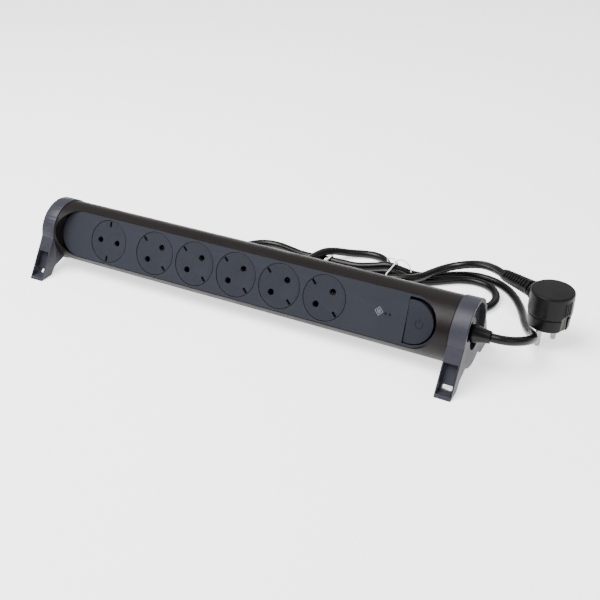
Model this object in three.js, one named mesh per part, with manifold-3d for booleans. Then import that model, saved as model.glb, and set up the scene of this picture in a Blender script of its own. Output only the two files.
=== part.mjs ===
// Swivelling six-way power strip: a round barrel with a flat socket panel, held between two feet.
// Units are millimetres. World frame: +X along the strip, +Y to the back, +Z up, ground at z = 0.
// Barrel frame (used for everything that turns with the barrel): +X along the strip,
// +Y up the face of the panel, +Z out of the panel, origin on the swivel axis.
import * as THREE from "three";
import { mergeVertices } from "three/addons/utils/BufferGeometryUtils.js";
import Module from "manifold-3d";

const wasm = await Module();
wasm.setup();

// ---- driving dimensions ----
const GAP = 0.3;
const PANEL_TILT = THREE.MathUtils.degToRad(22.9);
const AXIS_Y = 5.9;
const AXIS_Z = 32.6;

const BARREL_R = 28.4;
const BARREL_BORE_R = 26.2;
const BARREL_HALF = 196.8;

const PANEL_TOP = 17.6;
const PANEL_T = 2.3;
const PANEL_LEFT = -195.2;
const PANEL_RIGHT = 185.4;
const PANEL_HALF_W = 21.7;

const SOCKET_X = [-140.8, -88.65, -45.45, -2.25, 40.95, 84.15];
const SOCKET_TURN = [0, 45, 45, 45, 45, 45];
const FACE_R = 19.45;
const FACE_T = 2.2;
const FACE_SKIRT_END = 12.4;
const PIN_PITCH = 19;
const PIN_HOLE_R = 2.9;
const SLOT_FROM = 13.6;
const SLOT_TO = 18.9;
const SLOT_W = 2;
const WELL_R = 19.85;
const WELL_OUTER_R = 21.1;
const WELL_TOP = 15;
const WELL_FLOOR = -6.2;
const WELL_BOTTOM = -8;
const BLADE_FROM = 14.3;
const BLADE_TO = 18.3;
const BLADE_T = 1;
const BLADE_TOP = 14.2;

const FOOT_INNER = 197.1;
const FOOT_OUTER = 211.3;
const RING_R = 29.2;
const RING_BORE_R = 26;
const WEB_INNER = 199.3;
const WEB_OUTER = 205.4;
const JOURNAL_R = 9.7;
const NECK_R = 8.6;

const ROCKER_LEFT = 158;
const ROCKER_ARC_X = 162.9;
const ROCKER_HALF = 18.2;
const ROCKER_TOP = 17.9;
const ROCKER_BOTTOM = 8.9;
const ROCKER_PIVOT_Z = 5;
const ROCKER_REST = THREE.MathUtils.degToRad(4.5);

const CORD_R = 3.8;
// The hank is a round lobe of folds on the left and a narrower run of strands on the right.
const HANK_LOBE = { x0: -66.5, x1: 26, y: 80, r: 40.5 };
const HANK_RUN = { x1: 112, y0: 82.5, y1: 120.5, corner: 8 };
const HANK_Z = [1.2, 17.4];
const TIE_X = [31, 100];
const TIE_W = 4;

const PLUG = { x: 255, y: 70.4, faceZ: 19, splitZ: 31.4, topZ: 52, neckZ: 41.5, r: 18.5 };
const PLUG_EXIT = new THREE.Vector2(-0.86, 0.51).normalize();
const PLUG_PIN_R = 2.4;
const PLUG_RELIEF_START = [235.6, 81.9, 41.3];
const PLUG_RELIEF_END = [205.4, 103.4, 36.8];

// Centre lines of the free stretches of cord, in the world frame.
const CORD_ROUTE = [
  [224.4, 5.9, 32.6], [231.4, 6.6, 32.4], [238, 9.2, 31.6], [243.5, 13.6, 30.4],
  [247.8, 19.4, 28.7], [250.5, 26.2, 26.5], [251.3, 33.4, 23.9], [250.2, 40.8, 21],
  [247.2, 49, 17.6], [242.6, 58.6, 14.4], [238.4, 68, 12], [234.4, 78, 9.8], [230.8, 88.6, 7.6],
  [226.8, 99.6, 5.7], [221.2, 112, 4.4], [213.6, 124.6, 3.85], [204, 135.4, 3.85],
  [192, 143.2, 3.85], [178, 146.8, 3.85], [164, 145.4, 3.85], [151, 139.2, 3.85],
  [139.6, 130.6, 3.85], [128, 123, 4.6], [116.6, 118.3, 6.2],
];
const LOOP_ROUTE = [
  [116.2, 85.8, 3.85], [134, 80.6, 3.85], [150, 78, 3.85], [166.4, 77.6, 3.85],
  [180.2, 80.6, 3.85], [191.4, 88.8, 3.85], [198, 100.8, 3.85], [198.8, 114.2, 3.85],
  [193.4, 126.6, 3.85], [183, 134.6, 3.85], [170.2, 136.2, 3.85], [158, 132.4, 3.85],
  [147, 125, 3.85], [136, 116.8, 3.85], [125.4, 110, 5], [116.4, 106.9, 7.2],
];
const SMALL_LOOP_ROUTE = [
  [43, 130.6, 5.6], [48.2, 134.4, 4.6], [58, 139.2, 3.85], [68.6, 140.6, 3.85],
  [78.8, 137, 3.85], [86.4, 128.4, 3.85], [88.4, 123.6, 3.85],
];
const PLUG_LEAD_ROUTE = [
  [204.6, 104.1, 36.5], [200.4, 108.4, 35.7], [195.2, 113.6, 34.2], [187.8, 121.2, 31.2],
  [179.8, 128.6, 27.4], [171.2, 134.2, 23.2], [162, 137, 19.2], [152.8, 136.2, 16],
  [144.6, 131.8, 13.8], [138.4, 124.8, 12.8], [134, 116.4, 12.9], [130, 107.8, 13.2],
  [124, 100.4, 13.2], [116.6, 95.8, 12.9],
];

// ---- materials ----
const finish = (color, roughness, metalness) =>
  new THREE.MeshStandardMaterial({ color, roughness, metalness });
const BLACK = finish(0x1d1b1c, 0.5, 0);
const SLATE = finish(0x41454f, 0.55, 0);
const FOOT_GREY = finish(0x55545c, 0.5, 0);
const WELL_GREY = finish(0x2b2e35, 0.6, 0);
const CORD_BLACK = finish(0x17171a, 0.4, 0);
const WHITE = finish(0xe8e8e6, 0.6, 0);
const NICKEL = finish(0xb9b7ad, 0.3, 1);
const BRASS = finish(0xb08d57, 0.35, 1);
const SPRING_STEEL = finish(0x9a9ca0, 0.3, 1);
const BOARD_GREEN = finish(0x2c5a3a, 0.6, 0);
const LENS_AMBER = finish(0xd9d4c4, 0.2, 0);
const LIVE_BROWN = finish(0x5a3a28, 0.6, 0);
const NEUTRAL_BLUE = finish(0x2d4d8f, 0.6, 0);
const EARTH_YELLOW = finish(0x9aa32e, 0.6, 0);

// ---- solid helpers ----
function solid(geometry) {
  const bare = geometry.index ? geometry.toNonIndexed() : geometry.clone();
  bare.deleteAttribute("normal");
  bare.deleteAttribute("uv");
  const merged = mergeVertices(bare, 1e-4);
  return new wasm.Manifold(
    new wasm.Mesh({
      numProp: 3,
      vertProperties: merged.attributes.position.array,
      triVerts: new Uint32Array(merged.index.array),
    }),
  );
}

function geometryOf(manifold) {
  const mesh = manifold.getMesh();
  const geometry = new THREE.BufferGeometry();
  geometry.setAttribute("position", new THREE.BufferAttribute(mesh.vertProperties, 3));
  geometry.setIndex(new THREE.BufferAttribute(mesh.triVerts, 1));
  geometry.computeVertexNormals();
  return geometry;
}

function unite(first, ...others) {
  return others.reduce((sum, next) => sum.add(next), first);
}

function without(first, ...cutters) {
  return cutters.reduce((rest, cutter) => rest.subtract(cutter), first);
}

function box(x0, x1, y0, y1, z0, z1) {
  const geometry = new THREE.BoxGeometry(x1 - x0, y1 - y0, z1 - z0);
  return solid(geometry.translate((x0 + x1) / 2, (y0 + y1) / 2, (z0 + z1) / 2));
}

function rodX(radius, x0, x1, sides = 32, y = 0, z = 0) {
  const geometry = new THREE.CylinderGeometry(radius, radius, x1 - x0, sides);
  return solid(geometry.rotateZ(-Math.PI / 2).translate((x0 + x1) / 2, y, z));
}

function rodZ(radius, z0, z1, sides = 32, x = 0, y = 0) {
  const geometry = new THREE.CylinderGeometry(radius, radius, z1 - z0, sides);
  return solid(geometry.rotateX(Math.PI / 2).translate(x, y, (z0 + z1) / 2));
}

// A solid of revolution about +X; the profile is [radius, x] pairs, closed on the axis.
function turnedX(profile, sides = 32) {
  const points = profile.map(([r, x]) => new THREE.Vector2(r, x));
  return solid(new THREE.LatheGeometry(points, sides).rotateZ(-Math.PI / 2));
}

function turnedZ(profile, sides = 32) {
  const points = profile.map(([r, z]) => new THREE.Vector2(r, z));
  return solid(new THREE.LatheGeometry(points, sides).rotateX(Math.PI / 2));
}

// An outline in the XY plane, raised from z0 to z1.
function raised(outline, z0, z1) {
  const shape = new THREE.Shape(outline.map(([x, y]) => new THREE.Vector2(x, y)));
  const geometry = new THREE.ExtrudeGeometry(shape, { depth: z1 - z0, bevelEnabled: false });
  return solid(geometry.translate(0, 0, z0));
}

// An outline in the YZ plane, swept from x0 to x1.
function sweptX(outline, x0, x1) {
  const shape = new THREE.Shape(outline.map(([y, z]) => new THREE.Vector2(y, z)));
  const geometry = new THREE.ExtrudeGeometry(shape, { depth: x1 - x0, bevelEnabled: false });
  geometry.rotateY(Math.PI / 2).rotateX(Math.PI / 2);
  return solid(geometry.translate(x0, 0, 0));
}

function arc(cx, cy, radius, from, to, steps) {
  const points = [];
  for (let i = 0; i <= steps; i += 1) {
    const angle = THREE.MathUtils.degToRad(from + ((to - from) * i) / steps);
    points.push([cx + radius * Math.cos(angle), cy + radius * Math.sin(angle)]);
  }
  return points;
}

function stadium(x0, x1, halfWidth, y = 0) {
  return [
    ...arc(x1 - halfWidth, y, halfWidth, -90, 90, 20),
    ...arc(x0 + halfWidth, y, halfWidth, 90, 270, 20),
  ];
}

function tube(points, radius, sides, steps) {
  const curve = new THREE.CatmullRomCurve3(
    points.map((p) => new THREE.Vector3(...p)),
    false,
    "centripetal",
  );
  const section = new THREE.Shape(
    arc(0, 0, radius, 0, 360, sides).slice(0, -1).map(([x, y]) => new THREE.Vector2(x, y)),
  );
  const options = { steps, extrudePath: curve, bevelEnabled: false };
  return new THREE.ExtrudeGeometry(section, options);
}

function turned(manifold, degrees, x, y = 0) {
  return manifold.rotate([0, 0, degrees]).translate([x, y, 0]);
}

const strip = new THREE.Group();
strip.name = "power_strip";
const barrel = new THREE.Group();
barrel.name = "barrel";
barrel.matrixAutoUpdate = false;
barrel.matrix.makeBasis(
  new THREE.Vector3(1, 0, 0),
  new THREE.Vector3(0, Math.sin(PANEL_TILT), Math.cos(PANEL_TILT)),
  new THREE.Vector3(0, -Math.cos(PANEL_TILT), Math.sin(PANEL_TILT)),
);
barrel.matrix.setPosition(0, AXIS_Y, AXIS_Z);
strip.add(barrel);

function place(parent, name, shape, material) {
  const geometry = shape.isBufferGeometry ? shape : geometryOf(shape);
  const mesh = new THREE.Mesh(geometry, material);
  mesh.name = name;
  parent.add(mesh);
}

// ---- barrel housing and its panel ----
const pocket = raised(
  stadium(PANEL_LEFT - GAP, PANEL_RIGHT + GAP, PANEL_HALF_W + GAP),
  PANEL_TOP - PANEL_T - GAP,
  40,
);
const housing = without(
  rodX(BARREL_R, -BARREL_HALF, BARREL_HALF, 64),
  rodX(BARREL_BORE_R, -BARREL_HALF - 1, BARREL_HALF + 1, 48),
  pocket,
);
place(barrel, "barrel_housing", housing, BLACK);

const rockerOpening = [
  [ROCKER_LEFT - 0.7, -ROCKER_HALF - 1.4],
  ...arc(ROCKER_ARC_X + 0.6, 0, ROCKER_HALF + 1.4, -90, 90, 16),
  [ROCKER_LEFT - 0.7, ROCKER_HALF + 1.4],
];
const panelHoles = SOCKET_X.map((x) => rodZ(FACE_R + 0.4, 10, 20, 32, x));
const LENS_X = 133.8;
const LENS_Y = 1.2;
const panel = without(
  raised(stadium(PANEL_LEFT, PANEL_RIGHT, PANEL_HALF_W), PANEL_TOP - PANEL_T, PANEL_TOP),
  ...panelHoles,
  raised(rockerOpening, 10, 20),
  rodZ(2.3, 10, 20, 20, LENS_X, LENS_Y),
);
place(barrel, "front_panel", panel, SLATE);

// ---- sockets: well, retracting face and its return spring ----
const pinHoles = [-1, 1].map((side) =>
  rodZ(PIN_HOLE_R, -20, 30, 12, (side * PIN_PITCH) / 2),
);
const faceSlots = [-1, 1].map((side) => {
  const ends = [side * SLOT_FROM, side * SLOT_TO].sort((a, b) => a - b);
  return box(-SLOT_W / 2, SLOT_W / 2, ends[0], ends[1], -20, 30);
});
const bladeSlots = [-1, 1].map((side) => {
  const ends = [side * (BLADE_FROM - 0.4), side * (BLADE_TO + 0.4)].sort((a, b) => a - b);
  return box(-0.9, 0.9, ends[0], ends[1], -20, WELL_FLOOR + 1);
});
const face = without(
  unite(
    rodZ(FACE_R, PANEL_TOP - FACE_T, PANEL_TOP, 28),
    without(
      rodZ(FACE_R, FACE_SKIRT_END, PANEL_TOP - FACE_T + 0.5, 28),
      rodZ(FACE_R - 0.8, FACE_SKIRT_END - 1, PANEL_TOP, 28),
    ),
  ),
  ...pinHoles,
  ...faceSlots,
);
const well = without(
  rodZ(WELL_OUTER_R, WELL_BOTTOM, WELL_TOP, 24),
  rodZ(WELL_R, WELL_FLOOR, WELL_TOP + 1, 28),
  ...pinHoles,
  ...bladeSlots,
);

function springWire(x) {
  const turns = 4;
  const perTurn = 8;
  const points = [];
  for (let i = 0; i <= turns * perTurn; i += 1) {
    const angle = (i / perTurn) * 2 * Math.PI;
    const z = WELL_FLOOR + 1 + (i / (turns * perTurn)) * (PANEL_TOP - FACE_T - WELL_FLOOR - 2);
    points.push([x + 4.4 * Math.cos(angle), 4.4 * Math.sin(angle), z]);
  }
  return tube(points, 0.55, 4, turns * perTurn);
}

SOCKET_X.forEach((x, i) => {
  const turn = SOCKET_TURN[i];
  place(barrel, `socket_face_${i + 1}`, turned(face, turn, x), SLATE);
  place(barrel, `socket_well_${i + 1}`, turned(well, turn, x), WELL_GREY);
  place(barrel, `socket_spring_${i + 1}`, springWire(x), SPRING_STEEL);
});

// ---- bus bars under the wells ----
const CLIP_TOP = -8.7;
const CLIP_BOTTOM = -18.5;
const RAIL_Y = 15;
const clip = without(
  box(-3.2, 3.2, -3.2, 3.2, CLIP_BOTTOM, CLIP_TOP),
  box(-2.6, 2.6, -2.6, 2.6, CLIP_BOTTOM - 1, CLIP_TOP + 1),
);

function pinAt(i, side) {
  const angle = THREE.MathUtils.degToRad(SOCKET_TURN[i]);
  const reach = (side * PIN_PITCH) / 2;
  return [SOCKET_X[i] + reach * Math.cos(angle), reach * Math.sin(angle)];
}

function clipWithTab(i, side, railY) {
  const [x, y] = pinAt(i, side);
  const edge = y + Math.sign(railY) * 3;
  const tab = box(x - 1.5, x + 1.5, Math.min(edge, railY), Math.max(edge, railY), -12, -11);
  return unite(clip.translate([x, y, 0]), tab);
}

const lastX = SOCKET_X[SOCKET_X.length - 1];
const liveBar = unite(
  box(SOCKET_X[0] + 7.5, lastX + 20, RAIL_Y, RAIL_Y + 0.8, -13, -10),
  ...SOCKET_X.map((x, i) => clipWithTab(i, 1, RAIL_Y + 0.4)),
);
place(barrel, "live_bus_bar", liveBar, BRASS);

const joggedRail = unite(
  box(-127.5, lastX + 20, -RAIL_Y - 0.8, -RAIL_Y, -13, -10),
  box(-127.5, -125.5, -RAIL_Y - 0.4, -8.2, -13, -10.4),
  box(SOCKET_X[0] - 11.5, -125.5, -9, -8.2, -13, -10.4),
  clipWithTab(0, -1, -8.6),
);
const neutralBar = unite(
  joggedRail,
  ...SOCKET_X.slice(1).map((x, i) => clipWithTab(i + 1, -1, -RAIL_Y - 0.4)),
);
place(barrel, "neutral_bus_bar", neutralBar, BRASS);

const earthClip = unite(
  box(-1.5, 1.5, -BLADE_TO, BLADE_TO, -9.4, -8.6),
  box(-BLADE_T / 2, BLADE_T / 2, BLADE_FROM, BLADE_TO, -9, BLADE_TOP),
  box(-BLADE_T / 2, BLADE_T / 2, -BLADE_TO, -BLADE_FROM, -9, BLADE_TOP),
);
const earthBar = unite(
  box(SOCKET_X[0] - 3, lastX + 20, -3, 3, -21, -20.2),
  ...SOCKET_X.map((x) => box(x - 1.4, x + 1.4, -1.4, 1.4, -21, -9)),
  ...SOCKET_X.map((x, i) => turned(earthClip, SOCKET_TURN[i], x)),
);
place(barrel, "earth_bus_bar", earthBar, NICKEL);
place(barrel, "contact_tray", box(-160, 104.6, -9.2, 9.2, -24.1, -21.4), WELL_GREY);

// ---- rocker switch ----
const rockerFace = raised(
  [
    [ROCKER_LEFT, -ROCKER_HALF],
    ...arc(ROCKER_ARC_X, 0, ROCKER_HALF, -90, 90, 20),
    [ROCKER_LEFT, ROCKER_HALF],
  ],
  ROCKER_BOTTOM,
  ROCKER_TOP,
);
const rocker = without(
  unite(rockerFace, box(160, 172, -2.2, 2.2, 2, ROCKER_BOTTOM + 1)),
  rodX(1.7, 150, 190, 16, 0, ROCKER_PIVOT_Z),
);
const rockerAtRest = rocker
  .translate([0, 0, -ROCKER_PIVOT_Z])
  .rotate([THREE.MathUtils.radToDeg(ROCKER_REST), 0, 0])
  .translate([0, 0, ROCKER_PIVOT_Z]);
place(barrel, "rocker_button", rockerAtRest, SLATE);

const switchBody = without(
  box(152, 177.4, -13, 13, -14, 6.6),
  box(159.4, 172.6, -5, 5, -3, 8),
  rodX(1.55, 150, 190, 16, 0, ROCKER_PIVOT_Z),
);
place(barrel, "switch_body", switchBody, BLACK);
place(barrel, "rocker_pivot_pin", rodX(1.25, 153, 177, 16, 0, ROCKER_PIVOT_Z), SPRING_STEEL);

// ---- indicator ----
const lens = unite(rodZ(2, 11.5, PANEL_TOP, 20, LENS_X, LENS_Y), rodZ(3.2, 11.5, 14.6, 20, LENS_X, LENS_Y));
place(barrel, "indicator_lens", lens, LENS_AMBER);
const board = unite(
  box(117, 148, -12, 12, 4.4, 6),
  box(119, 126, -8, 8, 5.8, 9.5),
  box(139, 146, -9, -1, 5.8, 11),
);
place(barrel, "suppressor_board", board, BOARD_GREEN);
place(barrel, "indicator_lamp", rodZ(1.5, 6.3, 11.2, 12, LENS_X, LENS_Y), LENS_AMBER);

// ---- end caps with the journals that turn in the feet ----
function endCap() {
  return turnedX(
    [[0, 192.6], [25.9, 192.6], [25.9, 196.6], [JOURNAL_R, 196.6], [JOURNAL_R, 205.7],
      [NECK_R, 205.7], [NECK_R, 207.7], [0, 207.7]],
    32,
  );
}

const CLAMP_SHELF_TOP = -4.2;
const clampShelf = without(
  box(183.5, 193, -10, 10, -9.6, CLAMP_SHELF_TOP),
  rodX(8.5, 187.6, 192.6, 24),
  rodX(CORD_R + GAP, 180, 188, 16),
);
const cordBore = rodX(6.4, 187.6, 210, 20);
place(barrel, "right_end_cap", without(unite(endCap(), clampShelf), cordBore), BLACK);
const pocketClear = raised(
  stadium(PANEL_LEFT - 2 * GAP, PANEL_RIGHT, PANEL_HALF_W + 2 * GAP),
  PANEL_TOP - PANEL_T - 2 * GAP,
  40,
);
place(barrel, "left_end_cap", without(endCap().mirror([1, 0, 0]), pocketClear), BLACK);

const pivotClip = without(rodX(12.8, 205.8, 207.4, 20), rodX(NECK_R + GAP, 200, 210, 20));
place(barrel, "right_pivot_clip", pivotClip, SPRING_STEEL);
place(barrel, "left_pivot_clip", pivotClip.mirror([1, 0, 0]), SPRING_STEEL);

// ---- feet ----
const LEG_TOP = new THREE.Vector2(-29.1, 2.6);
const LEG_TOE = new THREE.Vector2(-53.3, -AXIS_Z);
const legSlope = LEG_TOE.clone().sub(LEG_TOP).normalize();
const legNormal = new THREE.Vector2(legSlope.y, -legSlope.x);

// A block sunk into the sloping front face of the leg: from and to run down the slope.
function legBlock(from, to, depth0, depth1, x0, x1) {
  const corner = (along, deep) => {
    const p = LEG_TOP.clone().addScaledVector(legSlope, along).addScaledVector(legNormal, -deep);
    return [p.x, p.y];
  };
  const outline = [corner(from, depth0), corner(to, depth0), corner(to, depth1), corner(from, depth1)];
  return sweptX(outline, x0, x1);
}

const frontLeg = sweptX(
  [[-20, 4], [-29.1, 2.6], [-53.3, -AXIS_Z], [-39.2, -AXIS_Z], [-18.5, -22], [-14, -14]],
  FOOT_INNER,
  FOOT_OUTER,
);
const rearLeg = sweptX(
  [[20, -14], [14, -24.6], [23.6, -AXIS_Z], [41.5, -AXIS_Z], [36.2, -15.7], [28.9, -2], [24, 0]],
  FOOT_INNER,
  FOOT_OUTER,
);
const ringBand = without(
  rodX(RING_R, FOOT_INNER, FOOT_OUTER, 64),
  rodX(RING_BORE_R, FOOT_INNER - 1, WEB_INNER, 36),
);
const recessOutline = [[-25.2, 7.6], [12, -16], [40, -16], [40, 40], [-40, 40], [-40, 7.6]];
const recess = unite(
  rodX(25.6, WEB_OUTER, FOOT_OUTER + 1, 44).intersect(
    sweptX(recessOutline, WEB_OUTER - 1, FOOT_OUTER + 2),
  ),
  rodX(13.6, WEB_OUTER, FOOT_OUTER + 1, 28),
);
const foot = without(
  unite(ringBand, without(unite(frontLeg, rearLeg), rodX(RING_R - 1, 190, 220, 48))),
  recess,
  rodX(JOURNAL_R + GAP, 190, 220, 28),
  legBlock(14, 39.6, -5, 3.2, FOOT_INNER + 1.6, FOOT_OUTER - 1.3),
  legBlock(31.6, 34.2, 0, 30, FOOT_INNER + 4.2, FOOT_OUTER - 2.2),
).translate([0, AXIS_Y, AXIS_Z]);
place(strip, "right_foot", foot, FOOT_GREY);
place(strip, "left_foot", foot.mirror([1, 0, 0]), FOOT_GREY);

// ---- cord entry ----
const relief = turnedX(
  [[0, 188], [8.2, 188], [8.2, 192.2], [6, 192.2], [6, 208], [7.4, 208.6], [7.6, 211],
    [6.6, 216], [5.2, 224], [0, 224]],
  18,
);
place(barrel, "cord_strain_relief", relief, CORD_BLACK);
place(barrel, "cord_tail", rodX(CORD_R, 182.2, 187.7, 16), CORD_BLACK);
const clampBar = without(
  box(184, 187.4, -9.5, 9.5, CLAMP_SHELF_TOP + GAP, 6.2),
  rodX(CORD_R + GAP, 180, 190, 16),
  box(180, 190, -CORD_R - GAP, CORD_R + GAP, -6, 0),
  rodZ(1.5, -6, 8, 12, 185.7, -7),
  rodZ(1.5, -6, 8, 12, 185.7, 7),
);
place(barrel, "cord_clamp", clampBar, WELL_GREY);
[-7, 7].forEach((y, i) => {
  const screw = unite(rodZ(1.2, -3.7, 6.6, 12, 185.7, y), rodZ(2.4, 6.5, 8.1, 16, 185.7, y));
  place(barrel, `clamp_screw_${i + 1}`, screw, NICKEL);
});

// ---- leads inside the barrel ----
const LEAD_R = 1;
const leads = {
  live_lead: [LIVE_BROWN, [[181.9, 2, 0], [180.9, 2, 0], [179.6, 9, -8], [179.6, 11, -13], [176, 9, -17], [168, 4, -18.2],
    [166, 4, -15.4]]],
  switched_lead: [LIVE_BROWN, [[160, 8, -15.4], [156, 10, -18], [140, 15.4, -16], [122, 15.4, -12],
    [105.8, 15.4, -11.5]]],
  neutral_lead: [NEUTRAL_BLUE, [[181.9, -2, 0], [180.9, -2, 0], [179.6, -9, -8], [179.4, -12, -14], [160, -13.5, -18.5],
    [130, -15.4, -14], [105.8, -15.4, -11.5]]],
  earth_lead: [EARTH_YELLOW, [[181.9, 0, -2.4], [180.9, 0, -2.4], [179.6, -1, -10], [179.4, -2, -16], [160, -1, -20.8],
    [130, 0, -20.6], [105.8, 0, -20.6]]],
};
for (const [name, [material, points]] of Object.entries(leads)) {
  place(barrel, name, tube(points, LEAD_R, 6, 14), material);
}

// ---- free cord, hank and ties ----
place(strip, "mains_cord", tube(CORD_ROUTE, CORD_R, 8, 38), CORD_BLACK);
place(strip, "cord_end_loop", tube(LOOP_ROUTE, CORD_R, 8, 24), CORD_BLACK);
place(strip, "plug_lead", tube(PLUG_LEAD_ROUTE, CORD_R, 8, 16), CORD_BLACK);
place(strip, "cord_small_loop", tube(SMALL_LOOP_ROUTE, CORD_R, 8, 16), CORD_BLACK);
const [hankLow, hankHigh] = HANK_Z;
const runEnd = HANK_RUN.x1 - HANK_RUN.corner;
const runOutline = [
  [HANK_LOBE.x0 + HANK_LOBE.r, HANK_RUN.y0],
  ...arc(runEnd, HANK_RUN.y0 + HANK_RUN.corner, HANK_RUN.corner, -90, 0, 5),
  ...arc(runEnd, HANK_RUN.y1 - HANK_RUN.corner, HANK_RUN.corner, 0, 90, 5),
  [HANK_LOBE.x0 + HANK_LOBE.r, HANK_RUN.y1],
];
const lobeOutline = stadium(HANK_LOBE.x0, HANK_LOBE.x1, HANK_LOBE.r, HANK_LOBE.y);
const hank = unite(
  raised(lobeOutline, hankLow, hankHigh),
  raised(runOutline, hankLow, hankHigh),
);
place(strip, "cord_hank", hank, CORD_BLACK);
TIE_X.forEach((x, i) => {
  const front = HANK_RUN.y0 - GAP;
  const back = HANK_RUN.y1 + GAP;
  const loop = without(
    box(x - TIE_W / 2, x + TIE_W / 2, front - 0.8, back + 0.8, 0, hankHigh + 1.2),
    box(x - TIE_W, x + TIE_W, front, back, hankLow - GAP, hankHigh + GAP),
  );
  place(strip, `cord_tie_${i + 1}`, loop, WHITE);
});

// ---- plug, standing on its pins ----
const alongExit = (reach) => [PLUG.x + PLUG_EXIT.x * reach, PLUG.y + PLUG_EXIT.y * reach];
const exitDegrees = THREE.MathUtils.radToDeg(Math.atan2(PLUG_EXIT.y, PLUG_EXIT.x));
const toPlug = (manifold) => manifold.rotate([0, 0, exitDegrees]).translate([PLUG.x, PLUG.y, 0]);
const NOTCH_TOP = 33.8;
const earthNotches = [-1, 1].map((side) =>
  box(side > 0 ? 15.4 : -24, side > 0 ? 24 : -15.4, -3.8, 3.8, PLUG.faceZ - 1, NOTCH_TOP),
);
const plugBase = without(
  turnedZ(
    [[0, PLUG.faceZ], [16.4, PLUG.faceZ], [17.2, PLUG.faceZ + 1], [17.9, PLUG.splitZ - GAP],
      [0, PLUG.splitZ - GAP]],
    40,
  ),
  ...earthNotches,
);
place(strip, "plug_base", toPlug(plugBase), CORD_BLACK);

const neck = solid(
  new THREE.CylinderGeometry(7.4, 7.4, 21.4, 20).rotateZ(Math.PI / 2).translate(10.7, 0, PLUG.neckZ),
);
const plugCover = without(
  unite(
    turnedZ(
      [[0, PLUG.splitZ], [PLUG.r, PLUG.splitZ], [PLUG.r, PLUG.topZ - 1.4], [PLUG.r - 1.4, PLUG.topZ],
        [0, PLUG.topZ]],
      40,
    ),
    neck,
  ),
  ...earthNotches,
);
place(strip, "plug_cover", toPlug(plugCover), CORD_BLACK);
[-1, 1].forEach((side, i) => {
  const pin = turnedZ([[0, 0], [1.2, 0], [PLUG_PIN_R, 1.6], [PLUG_PIN_R, 18.7], [0, 18.7]], 16);
  place(strip, `plug_pin_${i + 1}`, toPlug(pin.translate([0, (side * PIN_PITCH) / 2, 0])), NICKEL);
  const strap = box(side > 0 ? 15.7 : -16.9, side > 0 ? 16.9 : -15.7, -3.3, 3.3, 20, 33.4);
  place(strip, `plug_earth_strap_${i + 1}`, toPlug(strap), NICKEL);
});

const reliefStart = new THREE.Vector3(...PLUG_RELIEF_START);
const reliefAxis = new THREE.Vector3(...PLUG_RELIEF_END).sub(reliefStart);
const plugRelief = new THREE.LatheGeometry(
  [[0, 0], [6.8, 0], [6.6, 8], [5.2, reliefAxis.length()], [0, reliefAxis.length()]].map(
    ([r, y]) => new THREE.Vector2(r, y),
  ),
  20,
);
const toAxis = new THREE.Quaternion().setFromUnitVectors(
  new THREE.Vector3(0, 1, 0),
  reliefAxis.clone().normalize(),
);
plugRelief.applyQuaternion(toAxis).translate(...PLUG_RELIEF_START);
place(strip, "plug_strain_relief", plugRelief, CORD_BLACK);

export default strip;
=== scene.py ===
import math

import bmesh
import bpy
from mathutils import Matrix, Vector


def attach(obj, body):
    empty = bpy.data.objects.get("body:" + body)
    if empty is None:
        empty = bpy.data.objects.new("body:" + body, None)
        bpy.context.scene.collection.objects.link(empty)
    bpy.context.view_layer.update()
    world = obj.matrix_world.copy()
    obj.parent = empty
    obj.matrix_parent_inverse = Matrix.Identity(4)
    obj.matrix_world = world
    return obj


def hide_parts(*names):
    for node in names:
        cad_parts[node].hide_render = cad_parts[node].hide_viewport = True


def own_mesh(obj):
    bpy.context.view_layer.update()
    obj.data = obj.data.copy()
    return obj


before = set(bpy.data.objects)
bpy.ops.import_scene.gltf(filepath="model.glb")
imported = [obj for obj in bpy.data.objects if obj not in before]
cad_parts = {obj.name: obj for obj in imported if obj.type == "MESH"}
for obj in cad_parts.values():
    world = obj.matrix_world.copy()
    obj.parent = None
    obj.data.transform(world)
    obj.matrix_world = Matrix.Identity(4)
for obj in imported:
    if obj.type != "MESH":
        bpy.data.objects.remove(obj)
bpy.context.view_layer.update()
MM = 0.001

# Camera: where it stands, how it is turned, and its lens.
CAMERA_AT = (0.3577, -0.5825, 0.4188)
CAMERA_AZIMUTH = 27.369
CAMERA_ELEVATION = 31.028
CAMERA_LENS = 52.88

# Main sizes in millimetres, the same as the frame's.
TILT = math.radians(22.9)
AXIS = (0, 5.9, 32.6)
BARREL_R = 28.4
BARREL_HALF = 196.8
PANEL_TOP = 17.6
SOCKETS = [(-140.8, 0), (-88.65, 45), (-45.45, 45), (-2.25, 45), (40.95, 45), (84.15, 45)]
FOOT_IN, FOOT_OUT = 197.1, 211.3
PLUG_AT = (255, 70.4)
PLUG_TURN = math.degrees(math.atan2(0.51, -0.86))
CORD_R = 3.8
PIN_HALF = 9.5  # half the distance between a plug's pins
LAMP_AT = (133.8, 1.2)
POWER_MARK_AT = (169, -0.4)
ROCKER_PIVOT = 5  # height of the button's pin above the barrel's axis
ROCKER_LEAN = 4.5  # the button's lean at rest, in degrees
EARTH_IN, EARTH_OUT = 15.5, 16.3  # the plug's earth contacts, from its middle
COIL_R, COIL_LOW, COIL_HEIGHT = 4.4, -5.2, 19.4
COIL_TURNS, COIL_STEPS = 5.5, 160
FOOT_RING_R = 29.2
FOOT_BORE_R = 26
FOOT_RECESS_R = 25.6
FOOT_RECESS_FROM = 205.4
FLOOR_GLOW = 1.3  # a lit sweep: keeps the floor pale without washing out the black plastic
WORLD_STRENGTH = 0.5

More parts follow.
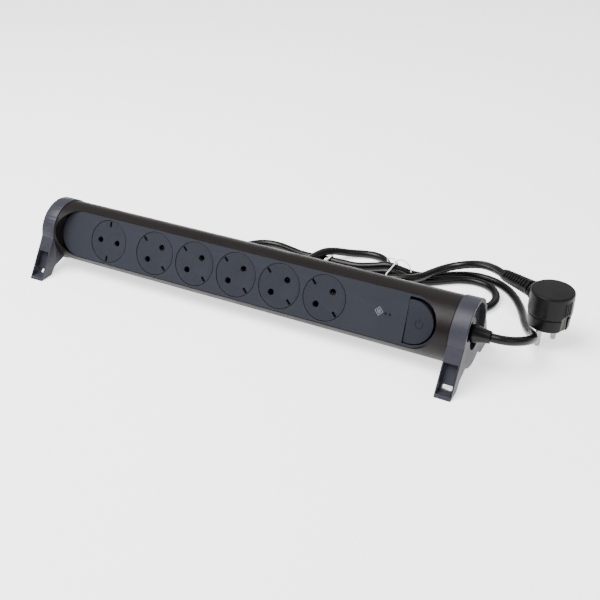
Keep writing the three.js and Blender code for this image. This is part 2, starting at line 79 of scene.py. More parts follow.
BARREL = Matrix(
    (
        (1, 0, 0, AXIS[0]),
        (0, math.sin(TILT), -math.cos(TILT), AXIS[1]),
        (0, math.cos(TILT), math.sin(TILT), AXIS[2]),
        (0, 0, 0, 1),
    )
)
ON_AXIS = Matrix.Translation(AXIS)
WORLD = Matrix.Identity(4)


# ---------------------------------------------------------------- camera
def make_camera():
    az, el = math.radians(CAMERA_AZIMUTH), math.radians(CAMERA_ELEVATION)
    back = Vector((math.sin(az) * math.cos(el), -math.cos(az) * math.cos(el), math.sin(el)))
    right = Vector((math.cos(az), math.sin(az), 0))
    up = back.cross(right)
    data = bpy.data.cameras.new("camera")
    data.lens = CAMERA_LENS
    data.sensor_width = 36
    camera = bpy.data.objects.new("camera", data)
    camera.matrix_world = Matrix.Translation(CAMERA_AT) @ Matrix((right, up, back)).transposed().to_4x4()
    bpy.context.scene.collection.objects.link(camera)
    bpy.context.scene.camera = camera


make_camera()


# ---------------------------------------------------------------- materials
class Nodes:
    """A small helper that adds and joins shader nodes."""

    def __init__(self, name):
        self.material = bpy.data.materials.new(name)
        self.material.use_nodes = True
        self.tree = self.material.node_tree
        self.shader = self.tree.nodes["Principled BSDF"]
        self.coords = self.add("ShaderNodeTexCoord").outputs["Object"]

    def add(self, kind, **inputs):
        node = self.tree.nodes.new(kind)
        for key, value in inputs.items():
            self.put(node, key, value)
        return node

    def put(self, node, key, value):
        socket = node.inputs[key.replace("_", " ")]
        if isinstance(value, bpy.types.NodeSocket):
            self.tree.links.new(value, socket)
        else:
            socket.default_value = value

    def noise(self, scale, detail=2.0, rough=0.5, vector=None):
        return self.add(
            "ShaderNodeTexNoise",
            Vector=vector or self.coords,
            Scale=scale,
            Detail=detail,
            Roughness=rough,
        ).outputs["Fac"]

    def stretched(self, x, y, z):
        mapping = self.add("ShaderNodeMapping", Vector=self.coords)
        mapping.inputs["Scale"].default_value = (x, y, z)
        return mapping.outputs["Vector"]

    def ramp(self, fac, low, high, start=0.3, end=0.7):
        node = self.add("ShaderNodeValToRGB", Fac=fac)
        node.color_ramp.elements[0].position = start
        node.color_ramp.elements[1].position = end
        node.color_ramp.elements[0].color = low
        node.color_ramp.elements[1].color = high
        return node.outputs["Color"]

    def span(self, fac, low, high, start=0.3, end=0.7):
        node = self.add("ShaderNodeMapRange", Value=fac)
        node.inputs["From Min"].default_value = start
        node.inputs["From Max"].default_value = end
        node.inputs["To Min"].default_value = low
        node.inputs["To Max"].default_value = high
        return node.outputs["Result"]

    def bump(self, height, distance, strength):
        node = self.add("ShaderNodeBump", Height=height, Distance=distance, Strength=strength)
        return node.outputs["Normal"]


def linear(r, g, b):
    """A display colour, 0 to 255, as the linear colour that the shader takes."""

    def one(c):
        c /= 255
        return c / 12.92 if c <= 0.04045 else ((c + 0.055) / 1.055) ** 2.4

    return (one(r), one(g), one(b), 1.0)


def tinted(colour, factor):
    return tuple(c * factor for c in colour[:3]) + (1.0,)


def moulded(name, colour, roughness, grain=2600.0, depth=0.00003, spread=0.12, edge=1.5, gloss=0.5):
    """Moulded plastic: spark-eroded grain, faint flow marks, a painted highlight on convex edges and
    handling sheen.
    """
    n = Nodes(name)
    flow = n.noise(1.0, 3.0, 0.55, n.stretched(14, 60, 60))
    speck = n.noise(grain * 0.6, 1.0)
    base = n.ramp(flow, tinted(colour, 1 - spread), tinted(colour, 1 + spread))
    fine = n.ramp(speck, (0.88, 0.88, 0.88, 1), (1.1, 1.1, 1.1, 1), 0.25, 0.75)
    mixed = n.add("ShaderNodeMix")
    mixed.data_type = "RGBA"
    mixed.blend_type = "MULTIPLY"
    mixed.inputs[0].default_value = 1.0
    n.tree.links.new(base, mixed.inputs[6])
    n.tree.links.new(fine, mixed.inputs[7])
    # Painted highlight: convex edges, found by pointiness, are lightened by the factor edge.
    edge_highlight_mix = n.add("ShaderNodeMix")
    edge_highlight_mix.data_type = "RGBA"
    geometry = n.add("ShaderNodeNewGeometry")
    edge_highlight_mask = n.span(geometry.outputs["Pointiness"], 0.0, 0.45, 0.52, 0.62)
    n.tree.links.new(edge_highlight_mask, edge_highlight_mix.inputs[0])
    n.tree.links.new(mixed.outputs[2], edge_highlight_mix.inputs[6])
    edge_highlight_mix.inputs[7].default_value = tinted(colour, edge)
    n.put(n.shader, "Base Color", edge_highlight_mix.outputs[2])
    smudge = n.noise(38.0, 4.0, 0.6)
    n.put(n.shader, "Roughness", n.span(smudge, roughness - 0.06, roughness + 0.07))
    n.put(n.shader, "Normal", n.bump(n.noise(grain, 2.0, 0.6), depth, 0.6))
    n.shader.inputs["Specular IOR Level"].default_value = gloss
    return n.material


def metal(name, colour, roughness, brushed):
    """Metal with grain drawn out along one axis."""
    n = Nodes(name)
    grain = n.noise(1.0, 3.0, 0.6, n.stretched(*brushed))
    n.put(n.shader, "Base Color", n.ramp(grain, tinted(colour, 0.85), tinted(colour, 1.1)))
    n.put(n.shader, "Roughness", n.span(n.noise(120.0, 3.0), roughness - 0.07, roughness + 0.1))
    n.put(n.shader, "Normal", n.bump(grain, 0.00001, 0.5))
    n.shader.inputs["Metallic"].default_value = 1.0
    return n.material


def clear_lens(name, colour):
    n = Nodes(name)
    n.put(n.shader, "Base Color", n.ramp(n.noise(420.0), tinted(colour, 0.9), tinted(colour, 1.05)))
    n.put(n.shader, "Roughness", n.span(n.noise(200.0), 0.12, 0.22))
    n.put(n.shader, "Normal", n.bump(n.noise(1500.0), 0.00002, 0.4))
    n.shader.inputs["Transmission Weight"].default_value = 0.25
    return n.material


BLACK = moulded("black_satin_plastic", linear(20, 17, 16), 0.4, 2400, 0.00003, gloss=0.12)
SLATE = moulded("slate_matt_plastic", linear(33, 35, 42), 0.55, 2100, 0.000035, 0.05, 1.25, gloss=0.14)
FACE = moulded("slate_face_plastic", linear(31, 33, 40), 0.55, 2100, 0.000035, 0.05, 1.3, gloss=0.14)
BUTTON = moulded("slate_button_plastic", linear(29, 31, 38), 0.5, 2100, 0.00003, 0.05, 1.3, gloss=0.14)
FOOT = moulded("foot_grey_plastic", linear(42, 42, 50), 0.42, 2400, 0.00003, 0.08, 1.6, gloss=0.2)
DARK = moulded("dark_inner_plastic", linear(14, 15, 18), 0.55, 1800, 0.00004, gloss=0.15)
CORD = moulded("cord_black_pvc", linear(8, 8, 9), 0.32, 1500, 0.00004, 0.15, 1.3, gloss=0.22)
PLUG = moulded("plug_black_plastic", linear(13, 12, 14), 0.36, 2200, 0.00004, 0.12, 1.6, gloss=0.12)
TIE = moulded("tie_white_plastic", linear(228, 229, 228), 0.4, 1500, 0.00003, 0.03, 1.0)
PRINT = moulded("printed_mark", linear(7, 7, 9), 0.5, 1500, 0.00001, 0.1, 1.0, gloss=0.15)
PRINT_PALE = moulded("printed_pale_mark", linear(92, 96, 104), 0.5, 1500, 0.00001, 0.1, 1.0)
BROWN = moulded("brown_insulation", linear(92, 56, 36), 0.45, 1500, 0.00003)
BLUE = moulded("blue_insulation", linear(42, 78, 150), 0.45, 1500, 0.00003)
EARTH = moulded("green_yellow_insulation", linear(140, 160, 50), 0.45, 1500, 0.00003)
BOARD = moulded("board_laminate", linear(40, 90, 56), 0.4, 1800, 0.00004)
NICKEL = metal("nickel_plate", linear(150, 147, 138), 0.3, (900, 60, 60))
# Nickel darkened as painted shade: the earth straps sit in the plug's dark notches.
CONTACT = metal("nickel_painted_shade", linear(74, 72, 68), 0.4, (900, 60, 60))
SPRING = metal("spring_wire", linear(160, 162, 166), 0.3, (60, 60, 900))
BRASS = metal("brass_strip", linear(188, 150, 92), 0.32, (80, 900, 900))
LENS = clear_lens("lens_clear", linear(88, 90, 98))


# ---------------------------------------------------------------- mesh helpers (millimetres)
def mesh_object(name, bm):
    data = bpy.data.meshes.new(name)
    bmesh.ops.recalc_face_normals(bm, faces=bm.faces)
    bm.to_mesh(data)
    bm.free()
    obj = bpy.data.objects.new(name, data)
    bpy.context.scene.collection.objects.link(obj)
    return obj


def arc(cx, cy, radius, start, end, steps):
    angles = [math.radians(start + (end - start) * i / steps) for i in range(steps + 1)]
    return [(cx + radius * math.cos(a), cy + radius * math.sin(a)) for a in angles]


def stadium(x0, x1, half, y=0.0, steps=32):
    right = arc(x1 - half, y, half, -90, 90, steps)
    return right + arc(x0 + half, y, half, 90, 270, steps)


def prism(name, outline, low, high, axis="Z"):
    """A closed outline swept along an axis. For axis X the outline is (y, z) pairs."""
    bm = bmesh.new()

    def place(u, v, w):
        return (u, v, w) if axis == "Z" else (w, u, v)

    bottom = [bm.verts.new(place(u, v, low)) for u, v in outline]
    top = [bm.verts.new(place(u, v, high)) for u, v in outline]
    bm.faces.new(bottom)
    bm.faces.new(top)
    for i in range(len(outline)):
        j = (i + 1) % len(outline)
        bm.faces.new((bottom[i], bottom[j], top[j], top[i]))
    return mesh_object(name, bm)


def box(name, x0, x1, y0, y1, z0, z1):
    return prism(name, [(x0, y0), (x1, y0), (x1, y1), (x0, y1)], z0, z1)


def turned(name, profile, axis="Z", sides=96, x=0.0, y=0.0):
    """A surface of revolution from (radius, height) pairs, closed where the radius is 0."""
    bm = bmesh.new()
    rings = []
    for radius, height in profile:
        ring = []
        for i in range(sides if radius > 0 else 1):
            a = 2 * math.pi * i / sides
            u, v = radius * math.cos(a), radius * math.sin(a)
            ring.append(bm.verts.new((x + u, y + v, height) if axis == "Z" else (height, u, v)))
        rings.append(ring)
    for one, two in zip(rings, rings[1:]):
        for i in range(sides):
            j = (i + 1) % sides
            corners = [one[i % len(one)], one[j % len(one)], two[j % len(two)], two[i % len(two)]]
            unique = list(dict.fromkeys(corners))
            if len(unique) > 2:
                bm.faces.new(unique)
    return mesh_object(name, bm)


def rod(name, radius, low, high, axis="Z", sides=96, x=0.0, y=0.0):
    return turned(name, [(0, low), (radius, low), (radius, high), (0, high)], axis, sides, x, y)


def bake(obj):
    evaluated = obj.evaluated_get(bpy.context.evaluated_depsgraph_get())
    data = bpy.data.meshes.new_from_object(evaluated)
    obj.modifiers.clear()
    obj.data = data
    return obj


def combine(obj, others, operation):
    for other in others:
        modifier = obj.modifiers.new("cut", "BOOLEAN")
        modifier.operation = operation
        modifier.solver = "MANIFOLD"
        modifier.object = other
        bake(obj)
        bpy.data.objects.remove(other)
    return obj


def cut(obj, *others):
    return combine(obj, others, "DIFFERENCE")


def add(obj, *others):
    return combine(obj, others, "UNION")


def move(obj, matrix):
    obj.data.transform(matrix)
    return obj


def turn_and_shift(obj, degrees, x):
    spin = Matrix.Rotation(math.radians(degrees), 4, "Z")
    return move(obj, Matrix.Translation((x, 0, 0)) @ spin)


def soften(obj, width, segments=2, angle=28):
    """Rounds the moulded edges and shades the rest smoothly."""
    bm = bmesh.new()
    bm.from_mesh(obj.data)
    bmesh.ops.remove_doubles(bm, verts=bm.verts, dist=0.004)
    bmesh.ops.dissolve_limit(bm, angle_limit=math.radians(0.4), verts=bm.verts, edges=bm.edges)
    bm.to_mesh(obj.data)
    bm.free()
    if width > 0:
        bevel = obj.modifiers.new("edge", "BEVEL")
        bevel.width = width
        bevel.segments = segments
        bevel.limit_method = "ANGLE"
        bevel.angle_limit = math.radians(angle)
        bevel.use_clamp_overlap = False
        bevel.miter_outer = "MITER_ARC"
        bake(obj)
    obj.data.shade_smooth()
    obj.data.set_sharp_from_angle(angle=math.radians(40))
    weighted = obj.modifiers.new("normals", "WEIGHTED_NORMAL")
    weighted.keep_sharp = True
    weighted.weight = 80
    bake(obj)
    return obj


def settle(obj, body, material, place=BARREL, nodes=()):
    """Puts a finished piece in its place, in metres, on its body."""
    move(obj, Matrix.Scale(MM, 4) @ place)
    obj.data.materials.clear()
    obj.data.materials.append(material)
    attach(obj, body)
    if nodes:
        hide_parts(*nodes)
    return obj


# ---------------------------------------------------------------- cord
# The centre line from the strain relief to the plug. Where the cord lies open it repeats the frame's
# points, apart from four at the ends of its loops, where the frame's tubes meet the hank. The runs
# inside the hank are drawn only here.
CORD_ROUTE = [
    (224.4, 5.9, 32.6), (231.4, 6.6, 32.4), (238, 9.2, 31.6), (243.5, 13.6, 30.4),
    (247.8, 19.4, 28.7), (250.5, 26.2, 26.5), (251.3, 33.4, 23.9), (250.2, 40.8, 21),
    (247.2, 49, 17.6), (242.6, 58.6, 14.4), (238.4, 68, 12), (234.4, 78, 9.8), (230.8, 88.6, 7.6),
    (226.8, 99.6, 5.7), (221.2, 112, 4.4), (213.6, 124.6, 3.85), (204, 135.4, 3.85),
    (192, 143.2, 3.85), (178, 146.8, 3.85), (164, 145.4, 3.85), (151, 139.2, 3.85),
    (139.6, 130.6, 3.85), (128, 123, 4.6), (116.6, 118.3, 6.2), (104.6, 115.6, 9.4),
    (92, 113.8, 11.9), (78, 112, 8.6), (62, 110.8, 5.2), (46, 110.2, 4.7), (30, 109.8, 4.7),
    (14, 108.8, 4.4), (0, 110, 3.85), (-14, 113.2, 3.85), (-27, 115.8, 3.85), (-38.8, 115, 3.85),
    (-48.8, 110.2, 3.85), (-56.4, 101.8, 3.85), (-61, 90.8, 3.85), (-62.2, 78.4, 3.85),
    (-59.6, 66, 3.85), (-53, 55, 3.85), (-43, 47.2, 3.85), (-30.6, 43.6, 3.85),
    (-17.6, 43.2, 3.85), (-4.8, 44.6, 3.85), (6.4, 49.2, 5.4), (14.2, 57.6, 8.8), (18, 68, 11.8),
    (19.4, 79, 12.5), (20.6, 90, 12.5), (22.8, 101, 12.6), (27, 111, 12.3), (32.8, 119.8, 10.2),
    (39.8, 128, 6.8), (48.2, 134.4, 4.6), (58, 139.2, 3.85), (68.6, 140.6, 3.85),
    (78.8, 137, 3.85), (86.4, 128.4, 3.85), (90.8, 117, 3.85), (95.4, 105.6, 3.85),
    (101, 96.6, 3.85), (108.6, 89.4, 3.85), (119.6, 84.4, 3.85), (134, 80.6, 3.85),
    (150, 78, 3.85), (166.4, 77.6, 3.85), (180.2, 80.6, 3.85), (191.4, 88.8, 3.85),
    (198, 100.8, 3.85), (198.8, 114.2, 3.85), (193.4, 126.6, 3.85), (183, 134.6, 3.85),
    (170.2, 136.2, 3.85), (158, 132.4, 3.85), (147, 125, 3.85), (136, 116.8, 3.85),
    (125.4, 110, 5), (116.4, 106.9, 7.2), (107, 104.8, 10.4), (97, 103, 11.7), (84, 102, 8.8),
    (70, 101.4, 5.6), (56, 101.1, 4.7), (42, 101, 4.7), (30, 100.8, 4.7), (17, 100.4, 4.3),
    (5, 99.8, 3.85), (-5, 99.4, 3.85), (-14.9, 98.6, 3.85), (-26.6, 95.4, 3.85),
    (-35.1, 86.9, 3.85), (-38.2, 75.3, 3.85), (-35.1, 63.6, 3.85), (-26.6, 55.1, 3.85),
    (-14.9, 52, 3.85), (-3.6, 53.4, 3.85), (6.2, 59.2, 3.85), (14.2, 67.6, 3.85), (22, 77.2, 4.2),
    (30.6, 85.6, 4.7), (41.4, 90.8, 4.7), (54, 92.4, 4.7), (67, 92, 4.7), (80, 91.4, 5.6),
    (92, 91.4, 8.6), (104, 92.2, 12), (115.6, 95.4, 12.9), (124, 100.4, 13.2), (130, 107.8, 13.2),
    (134, 116.4, 12.9), (138.4, 124.8, 12.8), (144.6, 131.8, 13.8), (152.8, 136.2, 16),
    (162, 137, 19.2), (171.2, 134.2, 23.2), (179.8, 128.6, 27.4), (187.8, 121.2, 31.2),
    (195.2, 113.6, 34.2), (200.4, 108.4, 35.7), (204.6, 104.1, 36.5), (205.3, 103.5, 36.8),
]


def smooth_path(points, per_span=5):
    """A centripetal spline through the points."""
    pts = [Vector(p) for p in points]
    pts = [2 * pts[0] - pts[1]] + pts + [2 * pts[-1] - pts[-2]]
    out = []
    for p0, p1, p2, p3 in zip(pts, pts[1:], pts[2:], pts[3:]):
        t0 = 0.0
        t1 = t0 + math.sqrt((p1 - p0).length)
        t2 = t1 + math.sqrt((p2 - p1).length)
        t3 = t2 + math.sqrt((p3 - p2).length)
        for i in range(per_span):
            t = t1 + (t2 - t1) * i / per_span
            a1 = p0 * ((t1 - t) / (t1 - t0)) + p1 * ((t - t0) / (t1 - t0))
            a2 = p1 * ((t2 - t) / (t2 - t1)) + p2 * ((t - t1) / (t2 - t1))
            a3 = p2 * ((t3 - t) / (t3 - t2)) + p3 * ((t - t2) / (t3 - t2))
            b1 = a1 * ((t2 - t) / (t2 - t0)) + a2 * ((t - t0) / (t2 - t0))
            b2 = a2 * ((t3 - t) / (t3 - t1)) + a3 * ((t - t1) / (t3 - t1))
            out.append(b1 * ((t2 - t) / (t2 - t1)) + b2 * ((t - t1) / (t2 - t1)))
    out.append(pts[-2])
    return out


def curve_object(name, path, radius, resolution=5):
    """A round tube along a path."""
    data = bpy.data.curves.new(name, "CURVE")
    data.dimensions = "3D"
    data.bevel_depth = radius
    data.bevel_resolution = resolution
    data.use_fill_caps = True
    spline = data.splines.new("POLY")
    spline.points.add(len(path) - 1)
    for point, co in zip(spline.points, path):
        point.co = (*co, 1.0)
    spline.use_smooth = True
    obj = bpy.data.objects.new(name, data)
    bpy.context.scene.collection.objects.link(obj)
    return obj


cord_path = [p * MM for p in smooth_path(CORD_ROUTE)]
mains_lead = curve_object("mains_lead", cord_path, CORD_R * MM)
mains_lead.data.materials.append(CORD)
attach(mains_lead, "feet")
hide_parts("mains_cord", "cord_end_loop", "cord_small_loop", "plug_lead", "cord_hank")


def strap_tie(name, x, y, width, half_y, z_top, node):
    """A flat strap round the bundle, with a small head on top."""
    outline = []
    r = 3.6
    for cy, cz, start in ((half_y, z_top, 0), (-half_y, z_top, 90), (-half_y, 0, 180), (half_y, 0, 270)):
        sy = math.copysign(half_y - r, cy)
        sz = z_top - r if cz else r
        outline += arc(sy, sz, r, start, start + 90, 8)
    inner = [(u * (1 - 0.9 / half_y), 0.8 + v * (1 - 1.6 / z_top)) for u, v in outline]
    strap = prism(name, outline, -width / 2, width / 2, "X")
    hole = prism("hole", inner, -width, width, "X")
    cut(strap, hole)
    head = box("head", -width * 0.7, width * 0.7, -1.7, 1.7, z_top - 0.6, z_top + 1.8)
    add(strap, head)
    soften(strap, 0.25, 2)
    return settle(strap, "feet", TIE, Matrix.Translation((x, y, 0)), [node])


def wire_tie(name, x, node):
    """A thin twist tie: one turn round the bundle, its ends left as two open loops on top."""
    turn = arc(113.2, 10.6, 6.2, -90, 90, 10) + arc(92.4, 10.6, 6.2, 90, 270, 10)
    path = [Vector((x, y, max(z, 0.7))) for y, z in turn]
    path.append(path[0].copy())
    ears = [
        [(x, 112, 16.6), (x - 1, 113.6, 19.4), (x - 5, 114.4, 20.4),
         (x - 8.6, 114, 18.4), (x - 8, 113, 16.6)],
        [(x, 112, 16.6), (x + 1.4, 112.6, 20), (x + 6, 112, 22.4),
         (x + 12.4, 110.4, 21.6), (x + 17, 108, 17.6), (x + 18.4, 106.6, 14.8)],
    ]
    parts = [curve_object("part", path, 0.65, resolution=3)]
    parts += [curve_object("part", smooth_path(ear), 0.5, resolution=3) for ear in ears]
    bm = bmesh.new()
    for part in parts:
        bm.from_mesh(bpy.data.meshes.new_from_object(part))
        bpy.data.objects.remove(part)
    wire = mesh_object(name, bm)
    wire.data.shade_smooth()
    return settle(wire, "feet", TIE, WORLD, [node])


tie_main = strap_tie("waist_tie", 33, 100.2, width=2.2, half_y=15.2, z_top=9.6, node="cord_tie_1")
tie_end = wire_tie("end_tie", 100, "cord_tie_2")

# ---------------------------------------------------------------- plug
on_plug = Matrix.Translation((*PLUG_AT, 0)) @ Matrix.Rotation(math.radians(PLUG_TURN), 4, "Z")


def plug_notches(half, top):
    left = box("notch_left", -24, -15.4, -half, half, 18, top)
    right = box("notch_right", 15.4, 24, -half, half, 18, top)
    return left, right


plug_insert = turned(
    "plug_insert",
    [(0, 19), (15.9, 19), (16.9, 19.4), (17.3, 20.4), (17.9, 30.2), (17.4, 31.2), (0, 31.2)],
)
cut(plug_insert, *plug_notches(3.8, 33.8))
for side in (-1, 1):
    boss = turned("boss", [(0, 18), (3.6, 18), (3.1, 19.8), (0, 19.8)], sides=48, y=side * PIN_HALF)
    cut(plug_insert, boss)
soften(plug_insert, 0.3)
settle(plug_insert, "feet", PLUG, on_plug, ["plug_base"])

plug_shell = turned(
    "plug_shell",
    [(0, 31.5), (17.6, 31.5), (18.3, 32), (18.5, 32.8), (18.5, 49.6), (18.1, 50.9), (17.2, 51.7),
     (15.6, 52), (0, 52)],
)
neck = move(
    turned(
        "neck",
        [(0, 0), (7.6, 0), (7.6, 18.6), (8.1, 19.2), (8.1, 20.8), (7.4, 21.4), (0, 21.4)],
        sides=64,
    ),
    Matrix.Translation((0, 0, 41.5)) @ Matrix.Rotation(math.radians(90), 4, "Y"),
)
add(plug_shell, neck)
cut(plug_shell, *plug_notches(3.8, 33.8))
for i in range(-3, 4):
    rib = box("rib", -19.6, -17.9, i * 2.2 - 0.45, i * 2.2 + 0.45, 36, 47)
    cut(plug_shell, rib)
soften(plug_shell, 0.45, 3, 32)
settle(plug_shell, "feet", PLUG, on_plug, ["plug_cover"])

for i, side in enumerate((-1, 1)):
    pin = turned(
        f"plug_pin_solid_{i + 1}",
        [(0, 0), (1.3, 0.05), (2.0, 0.5), (2.4, 1.6), (2.4, 18.9), (0, 18.9)],
        sides=48,
        y=side * PIN_HALF,
    )
    soften(pin, 0)
    settle(pin, "feet", NICKEL, on_plug, [f"plug_pin_{i + 1}"])
    strap_x = sorted((side * EARTH_IN, side * EARTH_OUT))
    strap = box(f"earth_strap_{i + 1}", *strap_x, -3.2, 3.2, 20.2, 33.2)
    dimple_x = sorted((side * (EARTH_OUT - 0.35), side * (EARTH_OUT + 1)))
    dimple = box("dimple", *dimple_x, -1.3, 1.3, 22, 31)
    cut(strap, dimple)
    soften(strap, 0.25)
    settle(strap, "feet", CONTACT, on_plug, [f"plug_earth_strap_{i + 1}"])

relief_from = Vector((235.6, 81.9, 41.3))
relief_to = Vector((205.4, 103.4, 36.8))
relief_span = relief_to - relief_from
length = relief_span.length
ribbed = length - 7.4
profile = [(0, 0), (7.2, 0), (7.2, 3.0)]
ribs = 9
step = ribbed / ribs
for i in range(ribs):
    h = 3.6 + i * ribbed / ribs
    big = 6.9 - 1.5 * i / ribs
    profile += [(big - 1.5, h), (big - 1.5, h + step * 0.3), (big, h + step * 0.42), (big, h + step * 0.92)]
profile += [(5.1, length - 3.4), (4.9, length - 0.6), (4.5, length), (0, length)]
plug_boot = turned("plug_boot", profile, sides=64)
for angle in (0, 90):
    bar = box("bar", -7, 7, -1.7, 1.7, 3, length - 4)
    move(bar, Matrix.Rotation(math.radians(angle), 4, "Z"))
    core = turned("core", [(0, 0), (7.1, 0), (5.2, length), (0, length)], sides=48)
    add(plug_boot, combine(bar, [core], "INTERSECT"))
soften(plug_boot, 0.22, 2, 30)
to_boot = Matrix.Translation(relief_from) @ relief_span.to_track_quat("Z", "Y").to_matrix().to_4x4()
settle(plug_boot, "feet", CORD, to_boot, ["plug_strain_relief"])

# ---------------------------------------------------------------- cord exit on the barrel
exit_boot = turned(
    "exit_boot",
    [(0, 188), (8.2, 188), (8.2, 192.2), (6, 192.2), (6, 208), (7.2, 208.2), (7.6, 209), (7.7, 210.6),
     (7.3, 212.4), (6.7, 214.6), (6.1, 217.6), (5.6, 220.8), (5.25, 223.2), (4.9, 224), (0, 224)],
    "X",
    64,
)
soften(exit_boot, 0.2, 2)
settle(exit_boot, "barrel", CORD, BARREL, ["cord_strain_relief"])

# ---------------------------------------------------------------- barrel
shell = rod("barrel_shell", BARREL_R, -BARREL_HALF, BARREL_HALF, "X", 192)
cut(shell, rod("bore", 26.2, -200, 200, "X", 128))
cut(shell, prism("pocket", stadium(-195.5, 185.7, 22.0), 15.0, 40))
soften(shell, 0.3, 3, 30)
settle(shell, "barrel", BLACK, BARREL, ["barrel_housing"])

panel = prism("panel_plate", stadium(-195.2, 185.4, 21.7, steps=40), 15.3, PANEL_TOP)
for x, _ in SOCKETS:
    cut(panel, rod("hole", 19.85, 10, 20, sides=96, x=x))
d_opening = [(157.6, -19.6)] + arc(163.5, 0, 19.6, -90, 90, 40) + [(157.6, 19.6)]
cut(panel, prism("d_opening", d_opening, 10, 20))
cut(panel, rod("lens_hole", 2.3, 10, 20, sides=48, x=LAMP_AT[0], y=LAMP_AT[1]))
soften(panel, 0.22, 2, 30)
settle(panel, "barrel", SLATE, BARREL, ["front_panel"])


def coil_path(x):
    points = []
    for k in range(COIL_STEPS + 1):
        a = k / COIL_STEPS * COIL_TURNS * 2 * math.pi
        height = COIL_LOW + COIL_HEIGHT * k / COIL_STEPS
        points.append(Vector((x + COIL_R * math.cos(a), COIL_R * math.sin(a), height)))
    return points


for i, (x, angle) in enumerate(SOCKETS, 1):
    face = turned(
        f"retracting_face_{i}",
        [(0, 15.4), (18.6, 15.4), (18.6, 12.4), (19.45, 12.4), (19.45, 17.1), (19.2, 17.45),
         (18.8, 17.6), (0, 17.6)],
        sides=96,
    )
    for side in (-1, 1):
        cut(face, turned("hole", [(0, 12), (2.7, 12), (2.7, 17), (3.2, 17.7), (3.2, 20), (0, 20)],
                         sides=48, x=side * PIN_HALF))
        low, high = sorted((side * 13.7, side * 18.8))
        cut(face, box("slot", -1.05, 1.05, low, high, 10, 20))
    soften(face, 0.14, 2, 34)
    turn_and_shift(face, angle, x)
    settle(face, f"socket_face_{i}", FACE, BARREL, [f"socket_face_{i}"])

    spring_curve = curve_object("coil", coil_path(x), 0.5, resolution=2)
    spring = bpy.data.objects.new(f"return_spring_{i}", bpy.data.meshes.new_from_object(spring_curve))
    bpy.context.scene.collection.objects.link(spring)
    bpy.data.objects.remove(spring_curve)
    spring.data.shade_smooth()
    settle(spring, "barrel", SPRING, BARREL, [f"socket_spring_{i}"])
    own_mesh(spring)


def printed(name, outline, body, material, place, low, high):
    """A thin printed or inlaid mark."""
    mark = prism(name, outline, low, high)
    soften(mark, 0)
    return settle(mark, body, material, place)


for i, (x, y) in enumerate(((139.7, 0.5), (143.4, 0.4)), 1):
    printed(f"lamp_mark_{i}", arc(x, y, 1.15, 0, 360, 24)[:-1], "barrel", PRINT, BARREL,
            PANEL_TOP - 0.2, PANEL_TOP + 0.04)
diamond = prism("lamp_surround", arc(*LAMP_AT, 3.9, 0, 360, 4)[:-1], PANEL_TOP - 0.2, PANEL_TOP + 0.05)
cut(diamond, prism("inside", arc(*LAMP_AT, 3.2, 0, 360, 4)[:-1], PANEL_TOP - 1, PANEL_TOP + 1))
soften(diamond, 0)
settle(diamond, "barrel", PRINT_PALE, BARREL)

# ---------------------------------------------------------------- rocker
d_shape = [(158, -18.2)] + arc(162.9, 0, 18.2, -90, 90, 40) + [(158, 18.2)]
rocker = prism("rocker_cap", d_shape, 8.9, 17.9)
dish = rod("dish", 260, 150, 190, "X", 256)
move(dish, Matrix.Translation((0, 0, 17.5 + 260)))
cut(rocker, dish)
stem = box("stem", 160, 172, -2.2, 2.2, 2, 10)
add(rocker, stem)
cut(rocker, move(rod("pin_hole", 1.7, 150, 190, "X", 32), Matrix.Translation((0, 0, ROCKER_PIVOT))))
soften(rocker, 0.6, 3, 32)
lean = Matrix.Rotation(math.radians(ROCKER_LEAN), 4, "X")
tilted = BARREL @ Matrix.Translation((0, 0, ROCKER_PIVOT)) @ lean
on_rocker = tilted @ Matrix.Translation((0, 0, -ROCKER_PIVOT))
settle(rocker, "rocker", BUTTON, on_rocker, ["rocker_button"])

ring_outline = arc(*POWER_MARK_AT, 3.6, 125, 415, 36) + arc(*POWER_MARK_AT, 2.9, 415, 125, 36)
ring = prism("power_mark", ring_outline, 17.3, 17.56)
bar_x, bar_y = POWER_MARK_AT
add(ring, box("bar", bar_x - 0.35, bar_x + 0.35, bar_y + 1.2, bar_y + 4.6, 17.3, 17.56))
soften(ring, 0)
settle(ring, "rocker", PRINT, on_rocker)

# ---------------------------------------------------------------- feet
LEG_TOP = Vector((-29.1, 2.6))
LEG_DOWN = (Vector((-53.3, -AXIS[2])) - LEG_TOP).normalized()
LEG_OUT = Vector((LEG_DOWN.y, -LEG_DOWN.x))


def leg_prism(name, outline, x0, x1):
    """An outline in (distance down the leg, depth behind its front face), swept along X."""
    corners = [tuple(LEG_TOP + LEG_DOWN * down - LEG_OUT * depth) for down, depth in outline]
    return prism(name, corners, x0, x1, "X")


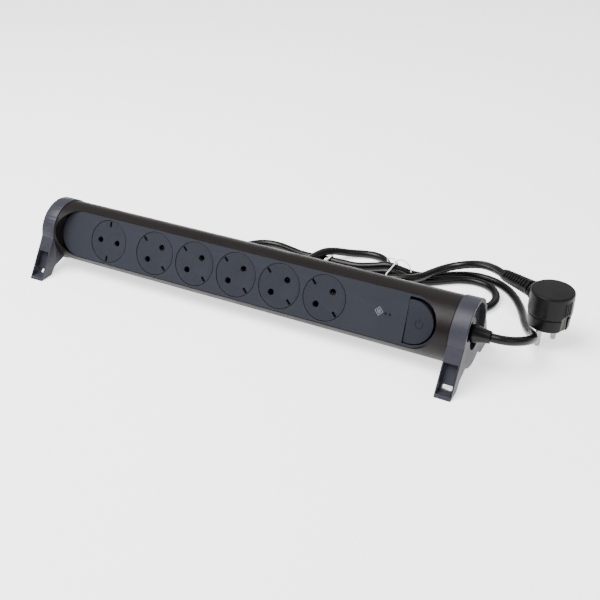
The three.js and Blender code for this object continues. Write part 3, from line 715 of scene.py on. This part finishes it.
def build_foot(name, mirrored, node):
    """One foot: the ring round the barrel, its two legs and the recesses cut in them."""
    band = rod(name, FOOT_RING_R, FOOT_IN, FOOT_OUT, "X", 192)
    front = prism(
        "front_leg",
        [(-20, 4), (-29.1, 2.6), (-53.3, -32.6), (-39.2, -32.6), (-32.6, -25.8), (-18.5, -22),
         (-14, -14)],
        FOOT_IN, FOOT_OUT, "X",
    )
    rear = prism(
        "rear_leg",
        [(20, -14), (14, -24.6), (23.6, -32.6), (41.5, -32.6), (36.4, -15.7), (31.6, -5),
         (28.9, 0), (24, 0)],
        FOOT_IN, FOOT_OUT, "X",
    )
    add(band, front, rear)
    cut(band, rod("inner", FOOT_BORE_R, FOOT_IN - 1, 199.3, "X", 128))
    recess = rod("recess", FOOT_RECESS_R, FOOT_RECESS_FROM, FOOT_OUT + 1, "X", 128)
    upper_outline = [(-25.4, 7.6), (12, -16), (40, -16), (40, 40), (-40, 40), (-40, 7.6)]
    combine(recess, [prism("upper", upper_outline, 200, 220, "X")], "INTERSECT")
    cut(band, recess)
    cut(band, rod("well", 13.6, FOOT_RECESS_FROM, FOOT_OUT + 1, "X", 96))
    cut(band, rod("journal_hole", 10, 190, 220, "X", 96))
    pocket = [(14, -5), (39.4, -5), (39.4, 1), (35, 6.6), (14, 6.6)]
    cut(band, leg_prism("leg_pocket", pocket, FOOT_IN + 1.3, FOOT_OUT - 1.3))
    slot = [(30.6, 0), (34.4, 0), (34.4, 30), (30.6, 30)]
    cut(band, leg_prism("leg_slot", slot, FOOT_IN + 2.8, FOOT_OUT - 1.9))
    soften(band, 0.55, 3, 28)
    if mirrored:
        move(band, Matrix.Scale(-1, 4, Vector((1, 0, 0))))
        band.data.flip_normals()
    return settle(band, "feet", FOOT, ON_AXIS, [node])


build_foot("foot_right", False, "right_foot")
build_foot("foot_left", True, "left_foot")

# ---------------------------------------------------------------- CAD nodes that stay
KEPT = {
    BLACK: ["right_end_cap", "left_end_cap", "switch_body", "left_pivot_clip", "right_pivot_clip"],
    DARK: ["contact_tray", "cord_clamp"] + [f"socket_well_{i}" for i in range(1, 7)],
    SPRING: ["rocker_pivot_pin"],
    BRASS: ["live_bus_bar", "neutral_bus_bar"],
    NICKEL: ["earth_bus_bar", "clamp_screw_1", "clamp_screw_2"],
    LENS: ["indicator_lens", "indicator_lamp"],
    BOARD: ["suppressor_board"],
    BROWN: ["live_lead", "switched_lead"],
    BLUE: ["neutral_lead"],
    EARTH: ["earth_lead"],
    CORD: ["cord_tail"],
}
for material, names in KEPT.items():
    for name in names:
        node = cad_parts[name]
        node.data.materials.clear()
        node.data.materials.append(material)


# ---------------------------------------------------------------- floor, light
def make_floor():
    bm = bmesh.new()
    bmesh.ops.create_grid(bm, x_segments=1, y_segments=1, size=6.0)
    floor = mesh_object("floor", bm)
    n = Nodes("floor_white")
    n.put(n.shader, "Base Color", n.ramp(n.noise(3.0), (0.94, 0.94, 0.94, 1), (0.96, 0.96, 0.96, 1)))
    n.put(n.shader, "Roughness", n.span(n.noise(9.0), 0.7, 0.8))
    n.shader.inputs["Emission Color"].default_value = (1, 1, 1, 1)
    n.shader.inputs["Emission Strength"].default_value = FLOOR_GLOW
    floor.data.materials.append(n.material)


def area_light(name, at, target, size, power):
    data = bpy.data.lights.new(name, "AREA")
    data.energy = power
    data.size = size
    light = bpy.data.objects.new(name, data)
    aim = (Vector(target) - Vector(at)).to_track_quat("-Z", "Y")
    light.matrix_world = Matrix.Translation(at) @ aim.to_matrix().to_4x4()
    bpy.context.scene.collection.objects.link(light)


make_floor()
area_light("key", (-0.5, -0.5, 1.5), (0, 0, 0), 1.2, 75)
area_light("fill", (1.3, -0.6, 0.9), (0.1, 0, 0), 0.7, 4)
area_light("back", (0.2, 1.4, 1.2), (0, 0.1, 0), 1.4, 5)
world = bpy.data.worlds.new("studio")
world.use_nodes = True
background = world.node_tree.nodes["Background"]
background.inputs["Color"].default_value = (1, 1, 1, 1)
background.inputs["Strength"].default_value = WORLD_STRENGTH
bpy.context.scene.world = world
